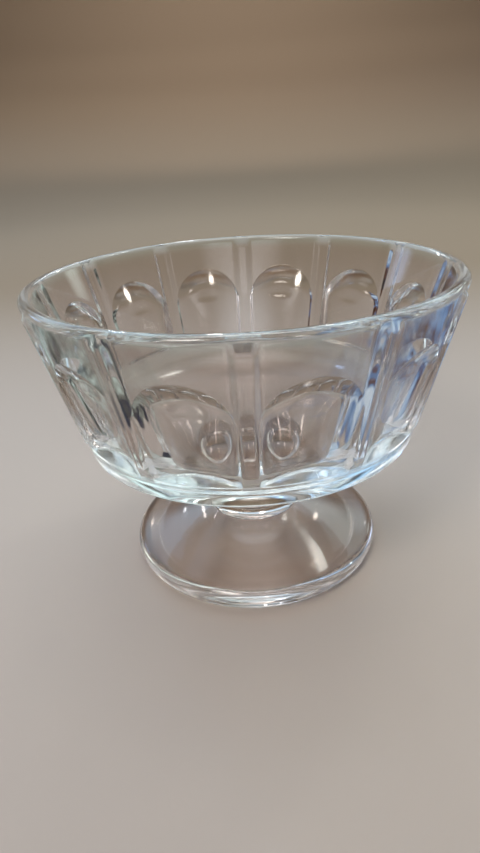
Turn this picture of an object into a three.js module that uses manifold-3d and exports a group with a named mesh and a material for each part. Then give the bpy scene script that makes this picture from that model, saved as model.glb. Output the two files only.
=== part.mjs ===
// A footed dessert bowl of clear pressed glass: a tapered bowl with ribs and arched flutes,
// a short waisted stem and a domed foot, sealed to each other on flat faces.
// Millimetres, +Z up, the origin at the middle of the ring that the foot stands on.

import * as THREE from 'three';
import { mergeVertices } from 'three/addons/utils/BufferGeometryUtils.js';
import Module from 'manifold-3d';

const wasm = await Module();
wasm.setup();

// Whole object
const HEIGHT = 81.5; // table to the top of the lip
const RIM_RADIUS = 55; // widest point of the lip

// Foot
const FOOT_RADIUS = 36.3; // outside of the rounded edge
const FOOT_HEIGHT = 13; // table to the seal under the stem
const FOOT_EDGE_ROUND = 2.7; // radius of the rounded edge
const FOOT_EDGE_SLOPE = 15; // degrees, slope of the dome where it meets the edge
const STANDING_RING_WIDTH = 4.6; // flat ring that touches the table
const UNDERFOOT_HOLLOW = 4.5; // depth of the dish under the foot

// Stem
const STEM_LENGTH = 14; // seal to seal
const STEM_WAIST_RADIUS = 9.5;
const STEM_FOOT_COVE = 6; // radius of the hollow curve that flares into the foot
const STEM_FOOT_SWEEP = 65; // degrees turned by that curve
const STEM_BOWL_COVE = 7; // radius of the hollow curve that flares into the bowl
const STEM_BOWL_SWEEP = 74; // degrees turned by that curve

// Bowl
const UNDERSIDE_RISE = 11.8; // seal up to the edge of the heel
const UNDERSIDE_SLOPE = 28; // degrees, slope of the underside where it meets the heel
const HEEL_RADIUS = 45; // outside of the thick heel
const HEEL_ROUND = 1.5; // radius of the heel's lower edge
const HEEL_BAND = 6.4; // plain band between the heel's edge and the flutes
const LIP_WALL = 3.4; // glass at the rim
const LIP_LAND = 0.4; // flat left on top of the lip between its two rounds
const BASE_WALL = 6.5; // from the outer cone to the inner one, at the height of the floor
const FLOOR_BELOW_HEEL = 4.8; // edge of the heel down to the middle of the dished floor
const FLOOR_RISE = 15; // half height of the ellipse that the dished floor follows

// Panels, ribs and flutes around the bowl
const PANEL_COUNT = 12;
const PANEL_BULGE = 0.5; // each panel swells this far between its ribs
const RIB_WIDTH = 6.3; // at the rim, both bevels included
const RIB_BEVEL = 1.8; // width of each sloped side
const RIB_HEIGHT = 0.8;
const RIB_FADE = 1.5; // height over which a rib dies out below the lip and above the heel
const LAND_WIDTH = 4.4; // what is left of a rib between two flutes, taken at the rim
const ARCH_BELOW_RIM = 10; // lip down to the crown of each arch
const FLUTE_DEPTH_LOW = 3.8; // of the scoop's middle line at the sill
const FLUTE_DEPTH_HIGH = 2.9; // of the scoop's middle line at the crown
const FLUTE_HEAD_RUN = 3.3; // width of the slope round the head of each flute
const FLUTE_SILL = 0.8; // height of the ledge along the foot of each flute
const FLUTE_OVERCUT = 2; // how far a flute's cutter stands out of the wall
const FLUTE_EDGE_LIFT = 0.15; // the cutter's edge starts this far off the wall

// Facets
const FOOT_SEGMENTS = 60;
const STEM_SEGMENTS = 40;
const CAVITY_SEGMENTS = 60;
const FLOOR_STEPS = 9; // facets from the middle of the floor up to the wall
const PANEL_STEPS = 6; // facets across one panel
const FLUTE_COLUMNS = 12;
const FLUTE_WALL_ROWS = 2; // rows from the ledge to the springing of the arch
const FLUTE_HEAD_ROWS = 3; // rows across the slope round the head
const ARC_STEP = 22; // degrees turned by one facet of a round

const GLASS = { color: 0xc9ccc6, roughness: 0.04, metalness: 0 };

// Heights and radii that follow from the sizes above
const radians = THREE.MathUtils.degToRad;
const FOOT_SEAL_Z = FOOT_HEIGHT;
const BOWL_SEAL_Z = FOOT_SEAL_Z + STEM_LENGTH;
const FOOT_SEAL_RADIUS = STEM_WAIST_RADIUS + STEM_FOOT_COVE * (1 - Math.cos(radians(STEM_FOOT_SWEEP)));
const BOWL_SEAL_RADIUS = STEM_WAIST_RADIUS + STEM_BOWL_COVE * (1 - Math.cos(radians(STEM_BOWL_SWEEP)));
const HEEL_Z = BOWL_SEAL_Z + UNDERSIDE_RISE;
const HEEL_TOP_Z = HEEL_Z + HEEL_BAND;
const FLOOR_Z = HEEL_Z - FLOOR_BELOW_HEEL;
const LIP_ROUND = (LIP_WALL - LIP_LAND) / 2;
const LIP_Z = HEIGHT - LIP_ROUND;
const WALL_FOOT_Z = HEEL_Z + HEEL_ROUND;
const WALL_SLOPE = (RIM_RADIUS - HEEL_RADIUS) / (LIP_Z - WALL_FOOT_Z);
const PITCH = (2 * Math.PI) / PANEL_COUNT;

// Radius of the plain cone that the outside of the wall follows.
function wallRadius(z) {
  return RIM_RADIUS - (LIP_Z - z) * WALL_SLOPE;
}

// Points along a circular arc, angles in degrees from the outward direction.
function arc(centreR, centreZ, radius, from, to) {
  const steps = Math.max(2, Math.ceil(Math.abs(to - from) / ARC_STEP));
  return Array.from({ length: steps + 1 }, (_, i) => {
    const angle = radians(from + ((to - from) * i) / steps);
    return new THREE.Vector2(centreR + radius * Math.cos(angle), centreZ + radius * Math.sin(angle));
  });
}

// Points along an arc that leaves one point at a given slope and ends at another, both in degrees.
function arcBetween(start, end, startSlope) {
  const chord = end.clone().sub(start);
  const turn = 2 * (Math.atan2(chord.y, chord.x) - radians(startSlope));
  const steps = Math.max(3, Math.ceil(Math.abs(THREE.MathUtils.radToDeg(turn)) / ARC_STEP));
  const radius = chord.length() / (2 * Math.sin(turn / 2));
  const across = radians(startSlope + 90);
  const centre = new THREE.Vector2(start.x + radius * Math.cos(across), start.y + radius * Math.sin(across));
  return Array.from({ length: steps + 1 }, (_, i) => start.clone().rotateAround(centre, (turn * i) / steps));
}

// A solid of revolution from a profile of (radius, height) points that runs from axis to axis, upwards.
function revolve(profile, segments) {
  const geometry = new THREE.LatheGeometry(profile, segments);
  return geometry.rotateX(Math.PI / 2);
}

// A closed surface from a list of corners and a list of triangles.
function surface(corners, triangles) {
  const geometry = new THREE.BufferGeometry();
  geometry.setFromPoints(corners);
  geometry.setIndex(triangles.flat());
  return geometry;
}

// A loft through rings of points, bottom ring first, with a flat cap at each end.
function loft(rings) {
  const count = rings[0].length;
  const middle = (ring) => ring.reduce((sum, p) => sum.add(p), new THREE.Vector3()).divideScalar(count);
  const corners = [...rings.flat(), middle(rings[0]), middle(rings.at(-1))];
  const bottom = corners.length - 2;
  const top = corners.length - 1;
  const last = (rings.length - 1) * count;
  const triangles = [];
  for (let i = 0; i < count; i += 1) {
    const next = (i + 1) % count;
    for (let row = 0; row < last; row += count) {
      triangles.push([row + i, row + next, row + count + next]);
      triangles.push([row + i, row + count + next, row + count + i]);
    }
    triangles.push([bottom, next, i]);
    triangles.push([top, last + i, last + next]);
  }
  return surface(corners, triangles);
}

// A slab between two grids of points of the same size, closed along all four sides.
function slab(inner, outer) {
  const rows = inner.length;
  const columns = inner[0].length;
  const corners = [...inner.flat(), ...outer.flat()];
  const at = (face, row, column) => face * rows * columns + row * columns + column;
  const triangles = [];
  const quad = (a, b, c, d) => triangles.push([a, b, c], [a, c, d]);
  for (let r = 0; r + 1 < rows; r += 1) {
    for (let c = 0; c + 1 < columns; c += 1) {
      quad(at(0, r, c), at(0, r + 1, c), at(0, r + 1, c + 1), at(0, r, c + 1));
      quad(at(1, r, c), at(1, r, c + 1), at(1, r + 1, c + 1), at(1, r + 1, c));
    }
    quad(at(0, r, 0), at(1, r, 0), at(1, r + 1, 0), at(0, r + 1, 0));
    quad(at(1, r, columns - 1), at(0, r, columns - 1), at(0, r + 1, columns - 1), at(1, r + 1, columns - 1));
  }
  for (let c = 0; c + 1 < columns; c += 1) {
    quad(at(0, 0, c), at(0, 0, c + 1), at(1, 0, c + 1), at(1, 0, c));
    quad(at(1, rows - 1, c), at(1, rows - 1, c + 1), at(0, rows - 1, c + 1), at(0, rows - 1, c));
  }
  return surface(corners, triangles);
}

// A closed geometry as a solid that can be cut and joined.
function toSolid(geometry) {
  const bare = geometry.clone().deleteAttribute('normal').deleteAttribute('uv');
  const merged = mergeVertices(bare, 1e-4);
  const index = merged.index.array;
  const triVerts = [];
  for (let i = 0; i < index.length; i += 3) {
    const [a, b, c] = index.slice(i, i + 3);
    if (a !== b && b !== c && c !== a) triVerts.push(a, b, c);
  }
  const vertProperties = Float32Array.from(merged.attributes.position.array);
  return new wasm.Manifold(new wasm.Mesh({ numProp: 3, vertProperties, triVerts: Uint32Array.from(triVerts) }));
}

// A solid as a geometry for a mesh.
function toGeometry(solid) {
  const mesh = solid.getMesh();
  const geometry = new THREE.BufferGeometry();
  geometry.setAttribute('position', new THREE.BufferAttribute(mesh.vertProperties, mesh.numProp));
  geometry.setIndex(new THREE.BufferAttribute(mesh.triVerts, 1));
  geometry.computeVertexNormals();
  return geometry;
}

function glassPiece(name, solid) {
  const mesh = new THREE.Mesh(toGeometry(solid), new THREE.MeshStandardMaterial(GLASS));
  mesh.name = name;
  return mesh;
}

// Foot: a domed disc with a rounded edge, hollowed underneath inside its standing ring.
function makeFoot() {
  const edgeCentre = FOOT_RADIUS - FOOT_EDGE_ROUND;
  const ringInner = edgeCentre - STANDING_RING_WIDTH;
  const crown = new THREE.Vector2(0, UNDERFOOT_HOLLOW);
  const seal = new THREE.Vector2(FOOT_SEAL_RADIUS, FOOT_SEAL_Z);
  const edge = arc(edgeCentre, FOOT_EDGE_ROUND, FOOT_EDGE_ROUND, -90, 90 - FOOT_EDGE_SLOPE);
  const dome = arcBetween(edge.at(-1), seal, 180 - FOOT_EDGE_SLOPE);
  const dish = arcBetween(crown, new THREE.Vector2(ringInner, 0), 0);
  const top = new THREE.Vector2(0, FOOT_SEAL_Z);
  return toSolid(revolve([...dish, ...edge, ...dome.slice(1), top], FOOT_SEGMENTS));
}

// Stem: a round waist with a hollow cove at each end.
function makeStem() {
  const lowerR = STEM_WAIST_RADIUS + STEM_FOOT_COVE;
  const upperR = STEM_WAIST_RADIUS + STEM_BOWL_COVE;
  const lowerZ = FOOT_SEAL_Z + STEM_FOOT_COVE * Math.sin(radians(STEM_FOOT_SWEEP));
  const upperZ = BOWL_SEAL_Z - STEM_BOWL_COVE * Math.sin(radians(STEM_BOWL_SWEEP));
  const lower = arc(lowerR, lowerZ, STEM_FOOT_COVE, 180 + STEM_FOOT_SWEEP, 180);
  const upper = arc(upperR, upperZ, STEM_BOWL_COVE, 180, 180 - STEM_BOWL_SWEEP);
  const bottom = new THREE.Vector2(0, FOOT_SEAL_Z);
  const top = new THREE.Vector2(0, BOWL_SEAL_Z);
  return toSolid(revolve([bottom, ...lower, ...upper, top], STEM_SEGMENTS));
}

// How far the outside lies from the plain cone at an angle from the middle of a panel.
// bulge and rib run from 0, plain, to 1, in full.
function wallOffset(angle, bulge, rib) {
  const share = angle / (PITCH / 2);
  const fromCrest = (PITCH / 2 - Math.abs(angle)) * RIM_RADIUS;
  const upBevel = THREE.MathUtils.clamp((RIB_WIDTH / 2 - fromCrest) / RIB_BEVEL, 0, 1);
  return RIB_HEIGHT * rib * upBevel - PANEL_BULGE * bulge * share * share;
}

// Outline of the bowl seen from above: bulged panels, with a rib over each joint between them.
function outline(radius, z, bulge, rib) {
  const ribHalf = RIB_WIDTH / 2 / RIM_RADIUS;
  const ribTop = (RIB_WIDTH / 2 - RIB_BEVEL) / RIM_RADIUS;
  const panelHalf = PITCH / 2 - ribHalf;
  const points = [];
  const add = (angle, out) => {
    const r = radius + out;
    points.push(new THREE.Vector3(r * Math.sin(angle), -r * Math.cos(angle), z));
  };
  for (let panel = 0; panel < PANEL_COUNT; panel += 1) {
    const middle = (panel + 0.5) * PITCH;
    const steps = Array.from({ length: PANEL_STEPS + 1 }, (_, i) => panelHalf * ((2 * i) / PANEL_STEPS - 1));
    const angles = [ribTop - PITCH / 2, ...steps, PITCH / 2 - ribTop];
    angles.forEach((angle) => add(middle + angle, wallOffset(angle, bulge, rib)));
  }
  return points;
}

// Outside of the bowl: underside, round heel, panelled wall and the outer half of the lip.
function bowlOutside() {
  const seal = new THREE.Vector2(BOWL_SEAL_RADIUS, BOWL_SEAL_Z);
  const heel = arc(HEEL_RADIUS - HEEL_ROUND, HEEL_Z + HEEL_ROUND, HEEL_ROUND, UNDERSIDE_SLOPE - 90, 0);
  const underside = arcBetween(heel[0], seal, UNDERSIDE_SLOPE - 180).reverse();
  const lip = arc(RIM_RADIUS - LIP_ROUND, LIP_Z, LIP_ROUND, 0, 90);
  const ribFoot = HEEL_TOP_Z + RIB_FADE;
  const ribHead = LIP_Z - RIB_FADE;
  const rings = [...underside, ...heel.slice(1)].map((p) => outline(p.x, p.y, 0, 0));
  rings.push(outline(wallRadius(HEEL_TOP_Z), HEEL_TOP_Z, 0, 0));
  rings.push(outline(wallRadius(ribFoot), ribFoot, 1, 1));
  rings.push(outline(wallRadius(ribHead), ribHead, 1, 1));
  lip.forEach((p, i) => rings.push(outline(p.x, p.y, 1 - i / (lip.length - 1), 0)));
  return toSolid(loft(rings));
}

// Inside of the bowl: a plain cone over a dished floor, half an ellipse that the cone touches.
function bowlCavity() {
  const lipInner = RIM_RADIUS - LIP_WALL;
  const baseInner = wallRadius(FLOOR_Z) - BASE_WALL;
  const spread = (lipInner - baseInner) / (LIP_Z - FLOOR_Z);
  const floorHalf = Math.sqrt(baseInner ** 2 + 2 * baseInner * spread * FLOOR_RISE);
  const touch = Math.atan((FLOOR_RISE / floorHalf) * spread);
  const floor = Array.from({ length: FLOOR_STEPS + 1 }, (_, i) => {
    const turn = ((Math.PI / 2 - touch) * i) / FLOOR_STEPS;
    return new THREE.Vector2(floorHalf * Math.sin(turn), FLOOR_Z + FLOOR_RISE * (1 - Math.cos(turn)));
  });
  const lean = THREE.MathUtils.radToDeg(Math.atan(spread));
  const lip = arc(lipInner + LIP_ROUND, LIP_Z, -LIP_ROUND, -lean, -90);
  const brimZ = HEIGHT + LIP_WALL;
  const brim = [new THREE.Vector2(lip.at(-1).x, brimZ), new THREE.Vector2(0, brimZ)];
  return toSolid(revolve([...floor, ...lip, ...brim], CAVITY_SEGMENTS));
}

// Cutter for one flute: a scoop with a ledge at its foot and a sloped edge round its arched head.
function fluteCutter() {
  const crownZ = HEIGHT - ARCH_BELOW_RIM;
  const halfAngle = PITCH / 2 - LAND_WIDTH / 2 / RIM_RADIUS;
  const headRadius = (halfAngle * wallRadius(crownZ)) / (1 + halfAngle * WALL_SLOPE);
  const springZ = crownZ - headRadius;
  const springRadius = wallRadius(springZ);
  const ledgeZ = HEEL_TOP_Z + FLUTE_SILL;

  const fluteDepth = (across, z) => {
    const share = (z - HEEL_TOP_Z) / (crownZ - HEEL_TOP_Z);
    const deepest = THREE.MathUtils.lerp(FLUTE_DEPTH_LOW, FLUTE_DEPTH_HIGH, share);
    const scoop = deepest * (1 - (across / headRadius) ** 2);
    const fromHead = headRadius - Math.hypot(across, Math.max(0, z - springZ));
    const head = (FLUTE_DEPTH_HIGH * fromHead) / FLUTE_HEAD_RUN;
    const sill = (FLUTE_DEPTH_LOW * (z - HEEL_TOP_Z)) / FLUTE_SILL;
    const depth = Math.min(scoop, head, sill);
    return depth - FLUTE_EDGE_LIFT * (1 - depth / FLUTE_DEPTH_LOW);
  };

  // Rows run level up to the springing, then as arches one inside the other up to the outline.
  const rows = [() => HEEL_TOP_Z];
  for (let i = 0; i <= FLUTE_WALL_ROWS; i += 1) {
    rows.push(() => THREE.MathUtils.lerp(ledgeZ, springZ, i / FLUTE_WALL_ROWS));
  }
  for (let i = 0; i <= FLUTE_HEAD_ROWS; i += 1) {
    const radius = headRadius - FLUTE_HEAD_RUN * (1 - i / FLUTE_HEAD_ROWS);
    rows.push((across) => springZ + Math.sqrt(Math.max(0, radius ** 2 - across ** 2)));
  }
  const acrossAll = Array.from({ length: FLUTE_COLUMNS + 1 }, (_, column) => {
    return headRadius * Math.sin(Math.PI * (column / FLUTE_COLUMNS - 0.5));
  });
  const grid = (depthAt) => rows.map((heightAt) => acrossAll.map((across) => {
    const z = heightAt(across);
    const angle = across / springRadius;
    const risen = THREE.MathUtils.clamp((z - HEEL_TOP_Z) / RIB_FADE, 0, 1);
    const radius = wallRadius(z) + wallOffset(angle, risen, risen) - depthAt(across, z);
    const turn = PITCH / 2 + angle;
    return new THREE.Vector3(radius * Math.sin(turn), -radius * Math.cos(turn), z);
  }));
  return slab(grid(fluteDepth), grid(() => -FLUTE_OVERCUT));
}

// Bowl: the panelled outside, less the cavity and one flute in every panel.
function makeBowl() {
  let bowl = bowlOutside().subtract(bowlCavity());
  const cutter = fluteCutter();
  for (let panel = 0; panel < PANEL_COUNT; panel += 1) {
    bowl = bowl.subtract(toSolid(cutter.clone().rotateZ(panel * PITCH)));
  }
  return bowl;
}

const dessertBowl = new THREE.Group();
dessertBowl.add(glassPiece('foot', makeFoot()));
dessertBowl.add(glassPiece('stem', makeStem()));
dessertBowl.add(glassPiece('bowl', makeBowl()));

export default dessertBowl;
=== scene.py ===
# %% [markdown]
# A footed dessert bowl in clear pressed glass.
#
# The bowl is glass that was pressed in a mould: a tapered wall with twelve ribs and twelve arched
# flutes, a thick heel, a short waisted stem and a domed foot. Glass has no colour of its own to hide
# behind, so what the eye reads is shape: each edge, hollow and swell bends what lies behind it.
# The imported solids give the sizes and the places. This lesson makes finer surfaces over the same
# forms, then a glass for them, a floor, soft lights and a camera.

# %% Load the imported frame
import math

import bpy
import numpy as np
from mathutils import Matrix, Vector


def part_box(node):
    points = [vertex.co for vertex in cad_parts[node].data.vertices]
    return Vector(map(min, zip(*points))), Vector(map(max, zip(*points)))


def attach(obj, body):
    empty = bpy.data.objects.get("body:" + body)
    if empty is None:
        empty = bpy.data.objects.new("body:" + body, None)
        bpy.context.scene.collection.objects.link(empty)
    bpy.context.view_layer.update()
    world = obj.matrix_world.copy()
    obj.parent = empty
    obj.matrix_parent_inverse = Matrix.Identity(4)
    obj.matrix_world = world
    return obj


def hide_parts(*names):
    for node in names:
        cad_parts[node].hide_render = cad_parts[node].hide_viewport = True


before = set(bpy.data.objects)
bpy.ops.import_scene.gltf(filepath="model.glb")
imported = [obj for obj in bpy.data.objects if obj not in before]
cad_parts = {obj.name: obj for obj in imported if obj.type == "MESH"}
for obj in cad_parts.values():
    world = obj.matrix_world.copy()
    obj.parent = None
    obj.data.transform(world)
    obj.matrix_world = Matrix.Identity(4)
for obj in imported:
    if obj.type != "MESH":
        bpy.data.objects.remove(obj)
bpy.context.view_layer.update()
MM = 0.001

# %% [markdown]
# Sizes first. The overall sizes could be typed in again, but then the fine surfaces could drift away
# from the solids, so they are read from the frame. The sizes of the small forms, such as the ribs,
# are real sizes in millimetres.

# %% Read the main sizes from the frame
_, foot_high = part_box("foot")
stem_low, stem_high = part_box("stem")
_, bowl_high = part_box("bowl")

FOOT_RADIUS = foot_high.x / MM
FOOT_SEAL_Z = stem_low.z / MM
BOWL_SEAL_Z = stem_high.z / MM
BOWL_SEAL_RADIUS = stem_high.x / MM
HEIGHT = bowl_high.z / MM
PANEL_COUNT = 12
PITCH = 2 * math.pi / PANEL_COUNT
RIM_RADIUS = 55.0
print("foot radius", round(FOOT_RADIUS, 2), "seals at", round(FOOT_SEAL_Z, 2), round(BOWL_SEAL_Z, 2),
      "height", round(HEIGHT, 2))

# %% Name the sizes of the wall, the ribs and the flutes
UNDERSIDE_RISE = 11.8
UNDERSIDE_SLOPE = math.radians(28)
HEEL_RADIUS = 45.0
HEEL_ROUND = 1.5
HEEL_BAND = 6.4
LIP_WALL = 3.4
LIP_LAND = 0.4
BASE_WALL = 6.5
FLOOR_BELOW_HEEL = 4.8
FLOOR_RISE = 15.0
PANEL_BULGE = 0.5
RIB_WIDTH = 6.3
RIB_BEVEL = 1.8
RIB_CORNER = 0.25
RIB_HEIGHT = 1.05
RIB_FADE = 1.5
LAND_WIDTH = 4.4
ARCH_BELOW_RIM = 10.0
FLUTE_DEPTH_LOW = 3.8
FLUTE_DEPTH_HIGH = 2.9
FLUTE_HEAD_RUN = 5.5
FLUTE_HEAD_COVE = 1.7
FLUTE_HEAD_START = 0.25
FLUTE_HEAD_CLEAR = 1.0
FLUTE_SCOOP = 2.3
FLUTE_SILL = 0.8
FLUTE_BLEND = 0.35

HEEL_Z = BOWL_SEAL_Z + UNDERSIDE_RISE
HEEL_TOP_Z = HEEL_Z + HEEL_BAND
FLOOR_Z = HEEL_Z - FLOOR_BELOW_HEEL
LIP_ROUND = (LIP_WALL - LIP_LAND) / 2
LIP_Z = HEIGHT - LIP_ROUND
WALL_SLOPE = (RIM_RADIUS - HEEL_RADIUS) / (LIP_Z - HEEL_Z - HEEL_ROUND)
WALL_LEAN = math.atan(WALL_SLOPE)
FLUTE_HALF_ANGLE = PITCH / 2 - LAND_WIDTH / 2 / RIM_RADIUS


def wall_radius(z):
    """Radius of the plain cone that the outside of the wall follows."""
    return RIM_RADIUS - (LIP_Z - z) * WALL_SLOPE


CROWN_Z = HEIGHT - ARCH_BELOW_RIM
HEAD_RADIUS = FLUTE_HALF_ANGLE * wall_radius(CROWN_Z) / (1 + FLUTE_HALF_ANGLE * WALL_SLOPE)
SPRING_Z = CROWN_Z - HEAD_RADIUS
print("heel at", round(HEEL_Z, 1), "flutes from", round(HEEL_TOP_Z, 1), "to", round(CROWN_Z, 1))

# %% [markdown]
# A mould is turned on a lathe, so its profiles are arcs and straight runs. A profile could be a
# smooth curve through a few points, but arcs keep the true sizes. Each is a list of (radius, height)
# points, and three helpers are enough: an arc about a centre, an arc that leaves one point at a given
# slope and ends at another, and a straight run.

# %% Draw arcs
def arc(centre_r, centre_z, radius, start, end, steps):
    turns = np.linspace(start, end, steps + 1)
    return np.stack([centre_r + radius * np.cos(turns), centre_z + radius * np.sin(turns)], axis=1)


def arc_between(start, end, start_slope, steps):
    chord = np.subtract(end, start)
    turn = 2 * (math.atan2(chord[1], chord[0]) - start_slope)
    radius = np.hypot(*chord) / (2 * math.sin(turn / 2))
    across = start_slope + math.pi / 2
    centre = np.add(start, (radius * math.cos(across), radius * math.sin(across)))
    return arc(*centre, radius, across + math.pi, across + math.pi + turn, steps)


def straight(start, end, steps):
    return np.linspace(start, end, steps + 1)


print("a quarter of an arc, in 8 steps, has", len(arc(0, 0, 1, 0, math.pi / 2, 8)), "points")

# %% [markdown]
# Every piece is round, so every piece is one grid of rings, and one function turns rings into a mesh.
# A screw modifier could do the same for the foot and the stem, but not for the relief on the bowl.
# The flat seals where two pieces of hot glass were pressed together are closed with a disc. In the
# real glass the seal has melted away, so that disc gets a material that light passes as if nothing
# were there.

# %% Turn rings of points into a closed mesh
def grid_faces(rows, columns, closed):
    """Faces between the rows of a grid of corners. closed: the last column joins the first."""
    faces = []
    for low in range(0, (rows - 1) * columns, columns):
        for column in range(columns if closed else columns - 1):
            after = (column + 1) % columns
            faces.append((low + column, low + after, low + columns + after, low + columns + column))
    return faces


def mesh_from_rings(name, rings, caps):
    """rings: (rows, columns, 3) in mm. caps: 'seal' or 'glass' for the first and the last ring."""
    rows, columns, _ = rings.shape
    corners = [tuple(p) for p in (rings.reshape(-1, 3) * MM)]
    faces = grid_faces(rows, columns, True)
    sealed = []
    for end, row in enumerate((0, rows - 1)):
        middle = len(corners)
        corners.append(tuple(rings[row].mean(axis=0) * MM))
        for column in range(columns):
            here = row * columns + column
            after = row * columns + (column + 1) % columns
            if caps[end] == "seal":
                sealed.append(len(faces))
            faces.append((after, here, middle) if end == 0 else (here, after, middle))
    mesh = bpy.data.meshes.new(name)
    mesh.from_pydata(corners, [], faces)
    mesh.shade_smooth()
    for face in sealed:
        mesh.polygons[face].material_index = 1
        mesh.polygons[face].use_smooth = False
    piece = bpy.data.objects.new(name, mesh)
    bpy.context.scene.collection.objects.link(piece)
    print(name, "has", len(corners), "corners and", len(faces), "faces")
    return piece


def revolve(profile, columns):
    turns = np.linspace(0, 2 * math.pi, columns, endpoint=False)
    r = profile[:, 0][:, None]
    z = np.repeat(profile[:, 1][:, None], columns, axis=1)
    return np.stack([r * np.sin(turns), -r * np.cos(turns), z], axis=2)


print("a closed grid of 2 rings of 6 corners has", len(grid_faces(2, 6, True)), "faces")

# %% [markdown]
# The foot is a domed disc with a rounded edge. Underneath it is hollowed, so it stands on a flat ring
# and can't rock. One closed profile, turned round the axis, makes the hollow, the ring, the edge and
# the dome together, so no seam shows in the glass.

# %% Make the foot
FOOT_EDGE_ROUND = 3.2
FOOT_EDGE_SLOPE = math.radians(15)
STANDING_RING_WIDTH = 4.6
UNDERFOOT_HOLLOW = 4.5
UNDERFOOT_TIP = 0.05
STEM_WAIST_RADIUS = 9.5
STEM_FOOT_COVE = 6.0
STEM_FOOT_SWEEP = math.radians(65)
FOOT_SEAL_RADIUS = STEM_WAIST_RADIUS + STEM_FOOT_COVE * (1 - math.cos(STEM_FOOT_SWEEP))
ROUND_COLUMNS = 192
HOLLOW_STEPS = 24
RING_STEPS = 4
EDGE_STEPS = 24
DOME_STEPS = 28


def foot_profile():
    edge_centre = FOOT_RADIUS - FOOT_EDGE_ROUND
    ring_inner = edge_centre - STANDING_RING_WIDTH
    edge_end = math.pi / 2 - FOOT_EDGE_SLOPE
    hollow = arc_between((UNDERFOOT_TIP, UNDERFOOT_HOLLOW), (ring_inner, 0), 0, HOLLOW_STEPS)
    ring = straight((ring_inner, 0), (edge_centre, 0), RING_STEPS)
    edge = arc(edge_centre, FOOT_EDGE_ROUND, FOOT_EDGE_ROUND, -math.pi / 2, edge_end, EDGE_STEPS)
    seal_edge = (FOOT_SEAL_RADIUS, FOOT_SEAL_Z)
    dome = arc_between(edge[-1], seal_edge, math.pi - FOOT_EDGE_SLOPE, DOME_STEPS)
    return np.concatenate([hollow, ring[1:], edge[1:], dome[1:]])


foot = mesh_from_rings("glass_foot", revolve(foot_profile(), ROUND_COLUMNS), ("glass", "seal"))

# %% [markdown]
# The stem is a round waist that flares into the foot below and the bowl above, the way hot glass
# does. Two coves with a short straight run between them give that, and they end exactly at the seals.

# %% Make the stem
STEM_BOWL_COVE = 7.0
STEM_BOWL_SWEEP = math.radians(74)
STEM_COVE_STEPS = 20
WAIST_STEPS = 6


def stem_profile():
    low_z = FOOT_SEAL_Z + STEM_FOOT_COVE * math.sin(STEM_FOOT_SWEEP)
    high_z = BOWL_SEAL_Z - STEM_BOWL_COVE * math.sin(STEM_BOWL_SWEEP)
    low_r = STEM_WAIST_RADIUS + STEM_FOOT_COVE
    high_r = STEM_WAIST_RADIUS + STEM_BOWL_COVE
    low = arc(low_r, low_z, STEM_FOOT_COVE, math.pi + STEM_FOOT_SWEEP, math.pi, STEM_COVE_STEPS)
    high = arc(high_r, high_z, STEM_BOWL_COVE, math.pi, math.pi - STEM_BOWL_SWEEP, STEM_COVE_STEPS)
    waist = straight(low[-1], high[0], WAIST_STEPS)
    return np.concatenate([low, waist[1:-1], high])


stem = mesh_from_rings("glass_stem", revolve(stem_profile(), ROUND_COLUMNS), ("seal", "seal"))

# %% [markdown]
# The bowl carries the pattern. Seen from above, each panel swells a little between its ribs. Each
# panel holds a flute: a round-headed hollow with a coved edge, a crisp outline and a sill on the heel.
# It could be cut with booleans, but those leave ragged faces, and glass shows every one of them. So
# the grid itself follows the outline of the arch: the columns crowd together at its sides, and one
# row runs along its head. That keeps the edge crisp with few faces.

# %% Lay the columns of one panel
FLUTE_COLUMNS = 36
RIB_COLUMNS = 12


def panel_columns():
    """Angles from the middle of a panel: across the flute, then across the rib after it."""
    spring_radius = wall_radius(SPRING_Z)
    swing = np.linspace(-math.pi / 2, math.pi / 2, FLUTE_COLUMNS, endpoint=False)
    across_flute = HEAD_RADIUS * np.sin(swing) / spring_radius
    rib_share = np.linspace(0, 1, RIB_COLUMNS, endpoint=False)
    across_rib = FLUTE_HALF_ANGLE + (PITCH - 2 * FLUTE_HALF_ANGLE) * rib_share
    return np.concatenate([across_flute, across_rib])


print("one panel has", len(panel_columns()), "columns")

# %% [markdown]
# The relief is worked out as a depth at each angle and height: the swell and the rib stand out from
# a plain cone, and the flute goes in. The flute is the shallowest of three hollows, its scoop, its
# head and its sill. A pressed edge is never sharp, so wherever two of them meet, the crease is
# rounded over.

# %% Round the creases
def smooth(share):
    share = np.clip(share, 0, 1)
    return share * share * (3 - 2 * share)


def soft_min(a, b, blend):
    """The smaller of two depths, with the crease between them rounded over."""
    share = np.clip(0.5 + 0.5 * (b - a) / blend, 0, 1)
    return b + (a - b) * share - blend * share * (1 - share)


def ramp(share, corner):
    """A straight slope from 0 to 1, with both its corners rounded over."""
    return -soft_min(-soft_min(share, 1.0, corner), 0.0, corner)


print("half way up a ramp:", round(float(ramp(0.5, RIB_CORNER)), 3))

# %% Shape the outside of the wall
def from_panel_middle(angle):
    """Folds an angle past the rib's crest back into the panel on its other side."""
    return np.where(angle > PITCH / 2, PITCH - angle, np.abs(angle))


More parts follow.
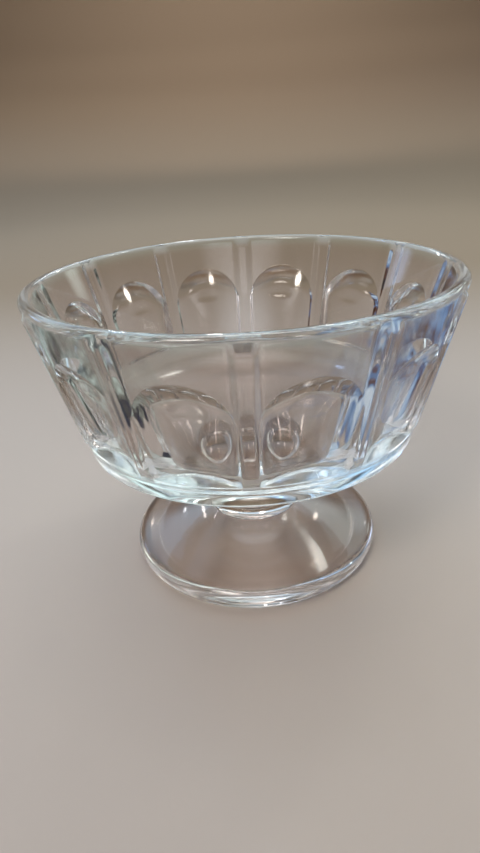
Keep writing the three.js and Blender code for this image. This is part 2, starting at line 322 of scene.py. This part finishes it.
def flute_depth(folded, z):
    """Depth of the flute in mm, below 0 outside it."""
    across = folded * wall_radius(SPRING_Z)
    run = HEAD_RADIUS - np.hypot(across, np.maximum(0, z - SPRING_Z))
    height_share = (z - HEEL_TOP_Z) / (CROWN_Z - HEEL_TOP_Z)
    deepest = FLUTE_DEPTH_LOW + (FLUTE_DEPTH_HIGH - FLUTE_DEPTH_LOW) * height_share
    scoop = deepest * (1 - (across / HEAD_RADIUS) ** FLUTE_SCOOP)
    head_left = np.clip(1 - run / FLUTE_HEAD_RUN, 0, 1)
    head = np.where(run > 0, FLUTE_DEPTH_HIGH * (1 - head_left ** FLUTE_HEAD_COVE), run)
    in_head = smooth((z - SPRING_Z) / (HEAD_RADIUS * FLUTE_HEAD_START))
    head = head + (deepest - FLUTE_DEPTH_HIGH + FLUTE_HEAD_CLEAR) * (1 - in_head)
    sill = FLUTE_DEPTH_LOW * (z - HEEL_TOP_Z) / FLUTE_SILL
    return soft_min(soft_min(scoop, head, FLUTE_BLEND), sill, FLUTE_BLEND)


def wall_offset(angle, z):
    """How far the outside lies from the plain cone, in mm: bulge and rib out, flute in."""
    folded = from_panel_middle(angle)
    started = smooth((z - HEEL_TOP_Z) / RIB_FADE)
    bulge = -PANEL_BULGE * (folded / (PITCH / 2)) ** 2 * started
    from_crest = (PITCH / 2 - folded) * RIM_RADIUS
    rib_run = (RIB_WIDTH / 2 - from_crest) / RIB_BEVEL
    rib = RIB_HEIGHT * ramp(rib_run, RIB_CORNER) * started * smooth((LIP_Z - z) / RIB_FADE)
    return bulge + rib - np.maximum(flute_depth(folded, z), 0)


print("at the springing, a flute lies", round(-float(wall_offset(0.0, SPRING_Z)), 2), "mm in and a rib",
      round(float(wall_offset(PITCH / 2, SPRING_Z)), 2), "mm out")

# %% Lay the rows of the wall
SILL_ROWS = 9
FLUTE_ROWS = 35
FLUTE_CROWDING = 1.5
TOP_ROWS = 19
TOP_CROWDING = 1.3


def arch_height(angle):
    """Height of the arch's outline over each column, and the springing over the ribs."""
    across = from_panel_middle(angle) * wall_radius(SPRING_Z)
    return SPRING_Z + np.sqrt(np.maximum(0, HEAD_RADIUS ** 2 - across ** 2))


def wall_rows(angles):
    """Heights of the wall's rows over each column: sill, flute, head of the arch, plain top."""
    crown = arch_height(angles)
    sill = HEEL_TOP_Z + FLUTE_SILL * (1 - np.cos(np.linspace(0, math.pi / 2, SILL_ROWS)))
    flute_share = 1 - (1 - np.linspace(0, 1, FLUTE_ROWS)[1:]) ** FLUTE_CROWDING
    top_share = np.linspace(0, 1, TOP_ROWS)[1:] ** TOP_CROWDING
    rows = [np.full_like(angles, z) for z in sill]
    rows += [sill[-1] + (crown - sill[-1]) * share for share in flute_share]
    rows += [crown + (LIP_Z - crown) * share for share in top_share]
    return np.array(rows)


print("the wall has", len(wall_rows(panel_columns())), "rows")

# %% [markdown]
# Under the relief the bowl is plain: an underside that curves out of the stem and a rounded heel.
# Inside it is plain too, because the plunger of the press has to come out: a round lip, a tapered
# wall and a hollow floor.

# %% Draw the plain profiles
UNDERSIDE_STEPS = 12
HEEL_STEPS = 10
BAND_STEPS = 5
LIP_STEPS = 8
INSIDE_STEPS = 22
FLOOR_STEPS = 36
FLOOR_TIP = 0.001


def lower_profile():
    """From the seal, along the underside and round the heel, to the lower end of the flutes."""
    heel_centre = (HEEL_RADIUS - HEEL_ROUND, HEEL_Z + HEEL_ROUND)
    heel = arc(*heel_centre, HEEL_ROUND, UNDERSIDE_SLOPE - math.pi / 2, -WALL_LEAN, HEEL_STEPS)
    seal_edge = (BOWL_SEAL_RADIUS, BOWL_SEAL_Z)
    underside = arc_between(heel[0], seal_edge, UNDERSIDE_SLOPE - math.pi, UNDERSIDE_STEPS)[::-1]
    band = straight(heel[-1], (wall_radius(HEEL_TOP_Z), HEEL_TOP_Z), BAND_STEPS)[1:-1]
    return np.concatenate([underside, heel[1:], band])


def inner_profile():
    """From the top of the lip, down the inside of the wall and across the floor to the axis."""
    lip_inner = RIM_RADIUS - LIP_WALL
    base_inner = wall_radius(FLOOR_Z) - BASE_WALL
    spread = (lip_inner - base_inner) / (LIP_Z - FLOOR_Z)
    lip_end = math.pi - math.atan(spread)
    lip = arc(lip_inner + LIP_ROUND, LIP_Z, LIP_ROUND, math.pi / 2, lip_end, LIP_STEPS)
    floor_half = math.sqrt(base_inner ** 2 + 2 * base_inner * spread * FLOOR_RISE)
    floor_start = -math.atan(FLOOR_RISE / floor_half * spread)
    turn = np.linspace(floor_start, -math.pi / 2 + FLOOR_TIP, FLOOR_STEPS + 1)
    floor = np.stack([floor_half * np.cos(turn), FLOOR_Z + FLOOR_RISE * (1 + np.sin(turn))], axis=1)
    inside = straight(lip[-1], floor[0], INSIDE_STEPS)
    return np.concatenate([lip, inside[1:], floor[1:]])


print("the underside and heel take", len(lower_profile()), "rows, the inside", len(inner_profile()))

# %% Make the bowl
def bowl_rings():
    one_panel = panel_columns()
    folded = np.tile(one_panel, PANEL_COUNT)
    turns = (np.repeat(np.arange(PANEL_COUNT), len(one_panel)) + 0.5) * PITCH + folded

    def all_round(profile):
        return tuple(np.repeat(profile[:, axis][:, None], len(turns), axis=1) for axis in (0, 1))

    wall_z = wall_rows(folded)
    wall = (wall_radius(wall_z) + wall_offset(folded[None, :], wall_z), wall_z)
    outer_lip = arc(RIM_RADIUS - LIP_ROUND, LIP_Z, LIP_ROUND, 0, math.pi / 2, LIP_STEPS)[1:]
    lip_r, lip_z = all_round(outer_lip)
    bulge = PANEL_BULGE * (from_panel_middle(folded) / (PITCH / 2)) ** 2
    bulge_left = np.linspace(1, 0, LIP_STEPS + 1)[1:]
    lip = (lip_r - bulge * bulge_left[:, None], lip_z)
    parts = (all_round(lower_profile()), wall, lip, all_round(inner_profile()))
    r, z = (np.concatenate(rows) for rows in zip(*parts))
    return np.stack([r * np.sin(turns), -r * np.cos(turns), z], axis=2)


bowl = mesh_from_rings("glass_bowl", bowl_rings(), ("seal", "glass"))

# %% [markdown]
# Materials are built from nodes. Three small helpers do it: one turns a colour from its sRGB hex
# value to the linear numbers of a socket, one adds a node with its settings and links, and one
# starts an empty material.

# %% Helpers for materials
def linear(hex_colour):
    """A colour written as sRGB hex, as the linear numbers that Blender's sockets take."""
    parts = [int(hex_colour[i:i + 2], 16) / 255 for i in (1, 3, 5)]
    return tuple(c / 12.92 if c <= 0.04045 else ((c + 0.055) / 1.055) ** 2.4 for c in parts) + (1.0,)


def add_node(material, kind, settings=None, inputs=None, links=None):
    """Adds one node. settings: its own properties. inputs: plain values. links: input to output."""
    node = material.node_tree.nodes.new(kind)
    for key, value in (settings or {}).items():
        setattr(node, key, value)
    for key, value in (inputs or {}).items():
        node.inputs[key].default_value = value
    for key, source in (links or {}).items():
        material.node_tree.links.new(source, node.inputs[key])
    return node


def new_material(name):
    material = bpy.data.materials.new(name)
    material.use_nodes = True
    material.node_tree.nodes.clear()
    return material


print("mid grey in linear light:", round(linear("#808080")[0], 3))

# %% [markdown]
# The glass is soda-lime, pressed in an iron mould and then fire-polished: a flame melts the skin, so
# it is clear and glossy. The mould still leaves a slow wave in it, and the hot glass leaves fine
# lines where it ran down the wall. Both are far too shallow to model as corners, so they are bump.
# Real flow lines can be finer than these, which are drawn as coarse as they need to be to show.

# %% Draw the marks of the mould
WAVE_SPACING = 14.0
WAVE_DEPTH = 0.15
WAVE_STRENGTH = 0.25
FLOW_SPACING = 3.0
FLOW_LENGTH = 45.0
FLOW_DEPTH = 0.05
FLOW_STRENGTH = 0.2


def mould_marks(material, place):
    """The surface direction of the glass, with the slow wave and the flow lines in it."""
    wave = add_node(material, "ShaderNodeTexNoise", None,
                    {"Scale": 1 / (WAVE_SPACING * MM), "Detail": 1.0, "Roughness": 0.4}, {"Vector": place})
    slow = add_node(material, "ShaderNodeBump", None,
                    {"Strength": WAVE_STRENGTH, "Distance": WAVE_DEPTH * MM}, {"Height": wave.outputs["Fac"]})
    across = 1 / (FLOW_SPACING * MM)
    run_down = add_node(material, "ShaderNodeMapping", None,
                        {"Scale": (across, across, 1 / (FLOW_LENGTH * MM))}, {"Vector": place})
    flow = add_node(material, "ShaderNodeTexNoise", None, {"Scale": 1.0, "Detail": 1.0, "Roughness": 0.5},
                    {"Vector": run_down.outputs["Vector"]})
    bump = add_node(material, "ShaderNodeBump", None,
                    {"Strength": FLOW_STRENGTH, "Distance": FLOW_DEPTH * MM},
                    {"Height": flow.outputs["Fac"], "Normal": slow.outputs["Normal"]})
    return bump.outputs["Normal"]


print("waves", WAVE_SPACING, "mm apart, flow lines", FLOW_SPACING, "mm apart")

# %% [markdown]
# A trace of iron gives soda-lime glass a breath of green, which shows only where the eye looks a long
# way through it: in the heel and in the lip. A volume could give that, but the three pieces meet at
# clear seals that a volume doesn't cross well. So the colour changes with the place on the bowl.

# %% Tint the thick glass
THIN_GLASS = "#E1D9D4"
THICK_GLASS = "#EAF2F0"
OUTSIDE_FLOOR = (HEEL_RADIUS - 7.0, HEEL_RADIUS - 4.0)
BELOW_FLUTES = (HEEL_TOP_Z + 3.0, HEEL_TOP_Z - 1.0)
IN_LIP = (LIP_Z - 2.5, LIP_Z + 0.5)


def depth_tint(material, place):
    """The colour of the glass: greener outside the floor and below the flutes, and in the lip."""
    axes = add_node(material, "ShaderNodeSeparateXYZ", None, None, {"Vector": place})
    level = add_node(material, "ShaderNodeVectorMath", {"operation": "MULTIPLY"}, {1: (1, 1, 0)}, {0: place})
    outward = add_node(material, "ShaderNodeVectorMath", {"operation": "LENGTH"}, None,
                       {0: level.outputs["Vector"]})
    steps = {}
    for i, (source, (start, end)) in enumerate(((outward.outputs["Value"], OUTSIDE_FLOOR),
                                                (axes.outputs["Z"], BELOW_FLUTES),
                                                (axes.outputs["Z"], IN_LIP))):
        step = add_node(material, "ShaderNodeMapRange", {"interpolation_type": "SMOOTHSTEP"},
                        {"From Min": start * MM, "From Max": end * MM}, {"Value": source})
        steps[i] = step.outputs["Result"]
    thick = add_node(material, "ShaderNodeMath", {"operation": "MULTIPLY_ADD"}, None, steps)
    tint = add_node(material, "ShaderNodeMix", {"data_type": "RGBA"},
                    {"A": linear(THIN_GLASS), "B": linear(THICK_GLASS)}, {"Factor": thick.outputs["Value"]})
    return tint.outputs["Result"]


print("thin glass", THIN_GLASS, "thick glass", THICK_GLASS)

# %% [markdown]
# Soda-lime glass bends light by 1.52, and a fire-polished skin is close to a mirror. A glass shader
# could stand alone here, but the principled one carries its values over when the model is exported.
# The seals get plain see-through, since the eye meets no surface there.

# %% Mix the glass and put it on the pieces
GLASS_IOR = 1.52
GLASS_ROUGHNESS = 0.05


def pressed_glass():
    material = new_material("fire_polished_soda_lime_glass")
    place = add_node(material, "ShaderNodeTexCoord").outputs["Object"]
    shader = add_node(material, "ShaderNodeBsdfPrincipled", None,
                      {"Roughness": GLASS_ROUGHNESS, "IOR": GLASS_IOR, "Transmission Weight": 1.0},
                      {"Base Color": depth_tint(material, place), "Normal": mould_marks(material, place)})
    add_node(material, "ShaderNodeOutputMaterial", None, None, {"Surface": shader.outputs["BSDF"]})
    return material


def melted_seal():
    material = new_material("melted_glass_seal")
    clear = add_node(material, "ShaderNodeBsdfTransparent")
    add_node(material, "ShaderNodeOutputMaterial", None, None, {"Surface": clear.outputs["BSDF"]})
    return material


glass = pressed_glass()
seal = melted_seal()
for piece, node, slot in ((bowl, "bowl", "bowl_glass"),
                          (stem, "stem", "stem_glass"),
                          (foot, "foot", "foot_glass")):
    piece.data.materials.append(glass)
    piece.data.materials.append(seal)
    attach(piece, "root")
    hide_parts(node)
    print(piece.name, "stands for", node, "in", glass.name)

# %% [markdown]
# The floor is plain, pale paper that curves up all round, as in a studio. Behind the bowl its colour is
# painted a darker taupe, a painted shade for the dimmer light there. It could be a flat plane in front
# of a coloured world, but then the glass would show one thing and the camera another. As a real surface
# it keeps the shadow of the bowl, and the glass bends the same paper that the camera sees. Paper is
# matt, so it is plain diffuse and mirrors nothing.
# Sizes of the studio are in metres.

# %% Lay the paper cove
COVE_MIDDLE = 0.2
COVE_FLAT = 0.9
COVE_ROUND = 1.0
COVE_TOP = 1.05
COVE_STEPS = 24
COVE_COLUMNS = 96
COVE_DROP = 0.02
# The deep colour is painted shade: the paper is coloured darker towards the back, where the light is dimmer.
PAPER_PALE = "#C6BAB1"
PAPER_PAINTED_SHADE = "#A18F7C"
PAINTED_SHADE_START = 0.04
PAINTED_SHADE_FULL = 0.40


def paper_with_painted_shade():
    material = new_material("matt_paper_with_painted_shade")
    place = add_node(material, "ShaderNodeTexCoord")
    axes = add_node(material, "ShaderNodeSeparateXYZ", None, None, {"Vector": place.outputs["Object"]})
    # Painted shade: the paper's colour turns from pale to deep taupe towards the back.
    back = add_node(material, "ShaderNodeMapRange", {"interpolation_type": "SMOOTHSTEP"},
                    {"From Min": PAINTED_SHADE_START, "From Max": PAINTED_SHADE_FULL}, {"Value": axes.outputs["Y"]})
    tone = add_node(material, "ShaderNodeMix", {"data_type": "RGBA"},
                    {"A": linear(PAPER_PALE), "B": linear(PAPER_PAINTED_SHADE)}, {"Factor": back.outputs["Result"]})
    shader = add_node(material, "ShaderNodeBsdfDiffuse", None, None, {"Color": tone.outputs["Result"]})
    add_node(material, "ShaderNodeOutputMaterial", None, None, {"Surface": shader.outputs["BSDF"]})
    return material


def make_floor():
    bend = arc(COVE_FLAT, COVE_ROUND, COVE_ROUND, -math.pi / 2, 0, COVE_STEPS)
    path = np.concatenate([[(COVE_MIDDLE, 0)], bend, [(COVE_FLAT + COVE_ROUND, COVE_TOP)]])
    corners = [tuple(p) for p in revolve(path, COVE_COLUMNS).reshape(-1, 3)]
    middle = tuple(reversed(range(COVE_COLUMNS)))
    mesh = bpy.data.meshes.new("paper_cove")
    mesh.from_pydata(corners, [], [middle] + grid_faces(len(path), COVE_COLUMNS, True))
    mesh.shade_smooth()
    mesh.materials.append(paper_with_painted_shade())
    floor = bpy.data.objects.new("paper_cove", mesh)
    bpy.context.scene.collection.objects.link(floor)
    floor.location.z = -COVE_DROP * MM
    return floor


floor = make_floor()
print(floor.name, "is", 2 * (COVE_FLAT + COVE_ROUND), "m across and", COVE_TOP, "m high")

# %% [markdown]
# A room is never black, so a dim, warm world fills in behind the lights. An image of a real room
# could give more, but a plain colour keeps the studio plain.

# %% Set the world
WORLD_COLOUR = "#4A4038"
WORLD_STRENGTH = 0.8


def make_world():
    world = bpy.data.worlds.new("studio")
    world.use_nodes = True
    bpy.context.scene.world = world
    world.node_tree.nodes.clear()
    light = add_node(world, "ShaderNodeBackground", None,
                     {"Color": linear(WORLD_COLOUR), "Strength": WORLD_STRENGTH})
    add_node(world, "ShaderNodeOutputWorld", None, None, {"Surface": light.outputs[0]})


make_world()
print("world", WORLD_COLOUR, "at", WORLD_STRENGTH)

# %% [markdown]
# Glass mirrors its lamps, so their edges matter as much as their light. A plain area lamp shows as a
# hard tile. These are ovals that fade towards their edge, like a lamp behind a cloth. The big ones
# light the floor, the small ones give the glints, and none of them shows to the camera.

# %% Build one soft lamp
LAMP_SOFTNESS = 0.4
LAMP_EDGE = 0.5


def soft_light(name, place, aim, width, height, radiance, colour):
    """A flat lamp. Its radiance is what a reflection sees of it: 1 is white."""
    data = bpy.data.lights.new(name, "AREA")
    data.shape = "ELLIPSE"
    data.size = width
    data.size_y = height
    data.energy = radiance * math.pi * width * height
    data.color = linear(colour)[:3]
    data.use_nodes = True
    data.node_tree.nodes.clear()
    spot = add_node(data, "ShaderNodeNewGeometry")
    away = add_node(data, "ShaderNodeVectorMath", {"operation": "DISTANCE"}, {1: (LAMP_EDGE, LAMP_EDGE, 0)},
                    {0: spot.outputs["Parametric"]})
    fade = add_node(data, "ShaderNodeMapRange", {"interpolation_type": "SMOOTHSTEP"},
                    {"From Min": LAMP_EDGE, "From Max": LAMP_EDGE - LAMP_SOFTNESS},
                    {"Value": away.outputs["Value"]})
    glow = add_node(data, "ShaderNodeEmission", None, None, {"Strength": fade.outputs["Result"]})
    add_node(data, "ShaderNodeOutputLight", None, None, {"Surface": glow.outputs["Emission"]})
    lamp = bpy.data.objects.new(name, data)
    bpy.context.scene.collection.objects.link(lamp)
    lamp.location = place
    lamp.rotation_mode = "QUATERNION"
    lamp.rotation_quaternion = (Vector(aim) - Vector(place)).to_track_quat("-Z", "Y")
    lamp.visible_camera = False


print("a lamp fades over the outer", round(100 * LAMP_SOFTNESS / LAMP_EDGE), "% of its radius")

# %% [markdown]
# A key light on the left and a broad, low fill on the front light the bowl as a studio would. The
# windows stand behind it and give the lip and the heel their cool edges. The small, bright lamps are
# the ovals that the flutes and the foot mirror, so each hangs where the glass sends the eye.

# %% Hang the lamps
BOWL_MIDDLE = (0, 0, 0.05)
BACKDROP = (0, 1.7, 0.15)
STUDIO_LAMPS = (
    # name, place, aim, width, height, radiance, colour
    ("key", (-0.55, -0.85, 1.10), BOWL_MIDDLE, 0.7, 0.7, 11.5, "#FFFCF7"),
    ("low_fill", (0.0, -1.30, 0.45), BOWL_MIDDLE, 1.6, 0.6, 2.5, "#F4F8FF"),
    ("overhead", (0.0, 0.10, 1.30), BOWL_MIDDLE, 1.1, 1.1, 3.0, "#FFFFFF"),
    ("window_left", (-0.53, 0.56, 0.97), BOWL_MIDDLE, 0.12, 0.12, 14.0, "#9CC4FF"),
    ("window_right", (0.43, 0.51, 1.05), BOWL_MIDDLE, 0.12, 0.24, 14.0, "#F7FFFB"),
    ("low_window_left", (-0.70, 0.38, 0.24), BOWL_MIDDLE, 0.30, 0.22, 3.0, "#BCD6FF"),
    ("low_window_right", (0.62, 0.48, 0.24), BOWL_MIDDLE, 0.25, 0.20, 2.5, "#F1FFF8"),
    ("backdrop_lamp", (0, 1.25, 0.95), BACKDROP, 0.9, 0.3, 10.0, "#FFF8F0"),
    ("lamp_right", (1.41, -0.03, 0.46), BOWL_MIDDLE, 0.11, 0.035, 60.0, "#FFF8EE"),
    ("lamp_front_right", (0.54, -1.23, 0.64), BOWL_MIDDLE, 0.11, 0.03, 60.0, "#FFF8EE"),
    ("lamp_back_right", (0.19, 0.91, 0.68), BOWL_MIDDLE, 0.07, 0.07, 60.0, "#FFF8EE"),
    ("lamp_back_left", (-0.30, 0.95, 0.52), BOWL_MIDDLE, 0.06, 0.06, 60.0, "#EAF4FF"),
    ("strip_back", (-0.08, 1.0, 0.60), BOWL_MIDDLE, 0.05, 0.40, 14.0, "#FFFFFF"),
    ("lamp_front_left", (-0.89, -1.02, 0.60), BOWL_MIDDLE, 0.17, 0.035, 60.0, "#FFF8EE"),
)
for lamp_settings in STUDIO_LAMPS:
    soft_light(*lamp_settings)
print(len(STUDIO_LAMPS), "lamps hang in the studio")

# %% [markdown]
# A thick heel of glass looks up at what hangs behind it. So a curved diffuser hangs there, above the
# picture: cool white on the right, bluer on the left, and soft all round its edge. A row of lamps
# would show as a row of spots in the heel, and one curved cloth shows as one clean band.

# %% Hang the diffuser
DIFFUSER_RADIUS = 1.3
DIFFUSER_TURNS = (100.0, 260.0)
DIFFUSER_RISES = (20.0, 66.0)
DIFFUSER_COLUMNS = 41
DIFFUSER_ROWS = 17
DIFFUSER_FADE = 0.22
DIFFUSER_GLOW = 1.6
DIFFUSER_RIGHT = "#EEFFF8"
DIFFUSER_LEFT = "#A6D2FF"


def diffuser_cloth():
    material = new_material("white_diffuser_cloth")
    tint = add_node(material, "ShaderNodeAttribute", {"attribute_name": "glow"})
    side = add_node(material, "ShaderNodeNewGeometry")
    shader = add_node(material, "ShaderNodeEmission", None, None,
                      {"Color": tint.outputs["Color"], "Strength": side.outputs["Backfacing"]})
    add_node(material, "ShaderNodeOutputMaterial", None, None, {"Surface": shader.outputs["Emission"]})
    return material


def make_diffuser():
    across = np.linspace(0, 1, DIFFUSER_COLUMNS)
    upward = np.linspace(0, 1, DIFFUSER_ROWS)
    turn_share, rise_share = np.meshgrid(across, upward)
    turn = np.radians(DIFFUSER_TURNS[0] + (DIFFUSER_TURNS[1] - DIFFUSER_TURNS[0]) * turn_share)
    rise = np.radians(DIFFUSER_RISES[0] + (DIFFUSER_RISES[1] - DIFFUSER_RISES[0]) * rise_share)
    aims = [np.cos(rise) * np.sin(turn), -np.cos(rise) * np.cos(turn), np.sin(rise)]
    places = DIFFUSER_RADIUS * np.stack(aims, 2)
    mesh = bpy.data.meshes.new("diffuser")
    mesh.from_pydata([tuple(p) for p in places.reshape(-1, 3)], [], grid_faces(*turn.shape, False))
    edge = np.minimum(np.minimum(turn_share, 1 - turn_share), np.minimum(rise_share, 1 - rise_share))
    glow = DIFFUSER_GLOW * smooth(edge / DIFFUSER_FADE).reshape(-1, 1)
    mix = smooth(turn_share).reshape(-1, 1)
    colour = np.array(linear(DIFFUSER_RIGHT)) * (1 - mix) + np.array(linear(DIFFUSER_LEFT)) * mix
    layer = mesh.attributes.new("glow", "FLOAT_COLOR", "POINT")
    layer.data.foreach_set("color", (colour * glow).astype(np.float32).ravel())
    mesh.materials.append(diffuser_cloth())
    diffuser = bpy.data.objects.new("diffuser", mesh)
    bpy.context.scene.collection.objects.link(diffuser)
    diffuser.visible_camera = False
    return diffuser


diffuser = make_diffuser()
print("the diffuser has", len(diffuser.data.polygons), "faces")

# %% [markdown]
# Beside the picture lie two mottled cloths. The camera doesn't see them, but the side walls of the
# bowl bend the view out to them, and that is what draws the ribs there as dark and light stripes.
# On bare paper the same ribs would all but vanish.

# %% Lay the cloths beside the picture
CLOTH_OUTER = 220.0
CLOTH_LIFT = 0.2
BLOTCH_SIZE = 60.0
LEFT_CORNERS = ((-49, -92), (-CLOTH_OUTER, 353), (-CLOTH_OUTER, -92))
RIGHT_CORNERS = ((37, -94), (CLOTH_OUTER, -94), (CLOTH_OUTER, 393))
# A colour ramp has two stops to begin with, so its two ends come first.
LEFT_TONES = ((0.37, "#1A2548"), (0.62, "#E6FAF0"), (0.44, "#33322F"), (0.51, "#8A8D84"))
RIGHT_TONES = ((0.37, "#131318"), (0.62, "#DCEEFF"), (0.44, "#6E4429"), (0.51, "#6A92C6"))


def mottled_cloth(name, tones):
    material = new_material("mottled_cloth_" + name)
    place = add_node(material, "ShaderNodeTexCoord")
    blotch = add_node(material, "ShaderNodeTexNoise", None,
                      {"Scale": 1 / (BLOTCH_SIZE * MM), "Detail": 5.0, "Roughness": 0.65},
                      {"Vector": place.outputs["Object"]})
    dye = add_node(material, "ShaderNodeValToRGB", None, None, {"Fac": blotch.outputs["Fac"]})
    stops = dye.color_ramp.elements
    for i, (position, tone) in enumerate(tones):
        stop = stops[i] if i < 2 else stops.new(position)
        stop.position = position
        stop.color = linear(tone)
    shader = add_node(material, "ShaderNodeBsdfDiffuse", None, None, {"Color": dye.outputs["Color"]})
    add_node(material, "ShaderNodeOutputMaterial", None, None, {"Surface": shader.outputs["BSDF"]})
    return material


def lay_cloth(name, corners, tones):
    mesh = bpy.data.meshes.new(name)
    mesh.from_pydata([(x * MM, y * MM, CLOTH_LIFT * MM) for x, y in corners], [], [(0, 1, 2)])
    mesh.materials.append(mottled_cloth(name, tones))
    cloth = bpy.data.objects.new(name, mesh)
    bpy.context.scene.collection.objects.link(cloth)
    cloth.visible_camera = False
    cloth.visible_diffuse = False
    cloth.visible_shadow = False
    print("cloth on the", name, "with", len(tones), "tones")


lay_cloth("left", LEFT_CORNERS, LEFT_TONES)
lay_cloth("right", RIGHT_CORNERS, RIGHT_TONES)

# %% [markdown]
# The camera stands where the photograph was taken: close in front of the bowl and above it, and
# tipped a little. Its place and turn were worked out from the ovals of the rim and the foot.

# %% Place the camera
CAMERA_PLACE = Vector((1.39, -149.98, 112.06)) * MM
CAMERA_PITCH = math.radians(26.69)
CAMERA_YAW = math.radians(-1.658)
CAMERA_ROLL = math.radians(-3.631)
CAMERA_NEAR = 0.005
CAMERA_FAR = 20
FOCAL_PIXELS = 580.07
PHOTO_HEIGHT = 853
SENSOR = 36.0


def make_camera():
    data = bpy.data.cameras.new("camera")
    data.sensor_width = SENSOR
    data.lens = SENSOR * FOCAL_PIXELS / PHOTO_HEIGHT
    data.clip_start = CAMERA_NEAR
    data.clip_end = CAMERA_FAR
    camera = bpy.data.objects.new("camera", data)
    bpy.context.scene.collection.objects.link(camera)
    forward = Vector((math.sin(CAMERA_YAW) * math.cos(CAMERA_PITCH),
                      math.cos(CAMERA_YAW) * math.cos(CAMERA_PITCH), -math.sin(CAMERA_PITCH)))
    level_right = Vector((math.cos(CAMERA_YAW), -math.sin(CAMERA_YAW), 0))
    level_up = level_right.cross(forward)
    right = math.cos(CAMERA_ROLL) * level_right + math.sin(CAMERA_ROLL) * level_up
    up = -math.sin(CAMERA_ROLL) * level_right + math.cos(CAMERA_ROLL) * level_up
    turn = Matrix((right, up, -forward)).transposed().to_4x4()
    camera.matrix_world = Matrix.Translation(CAMERA_PLACE) @ turn
    bpy.context.scene.camera = camera
    return camera


camera = make_camera()
print("lens", round(camera.data.lens, 2), "mm")

# %% [markdown]
# Light goes in and out of a glass bowl many times before it reaches the eye. With the usual few
# bounces the lip and the heel turn black, so the paths are allowed to go on for longer. Colours are
# shown as they are, with no film look over them.

# %% Set the light paths
LIGHT_BOUNCES = 32
scene = bpy.context.scene
scene.view_settings.view_transform = "Standard"
scene.cycles.max_bounces = LIGHT_BOUNCES
scene.cycles.transmission_bounces = LIGHT_BOUNCES
scene.cycles.glossy_bounces = LIGHT_BOUNCES
scene.cycles.blur_glossy = 0.0
print("light may bounce", LIGHT_BOUNCES, "times")
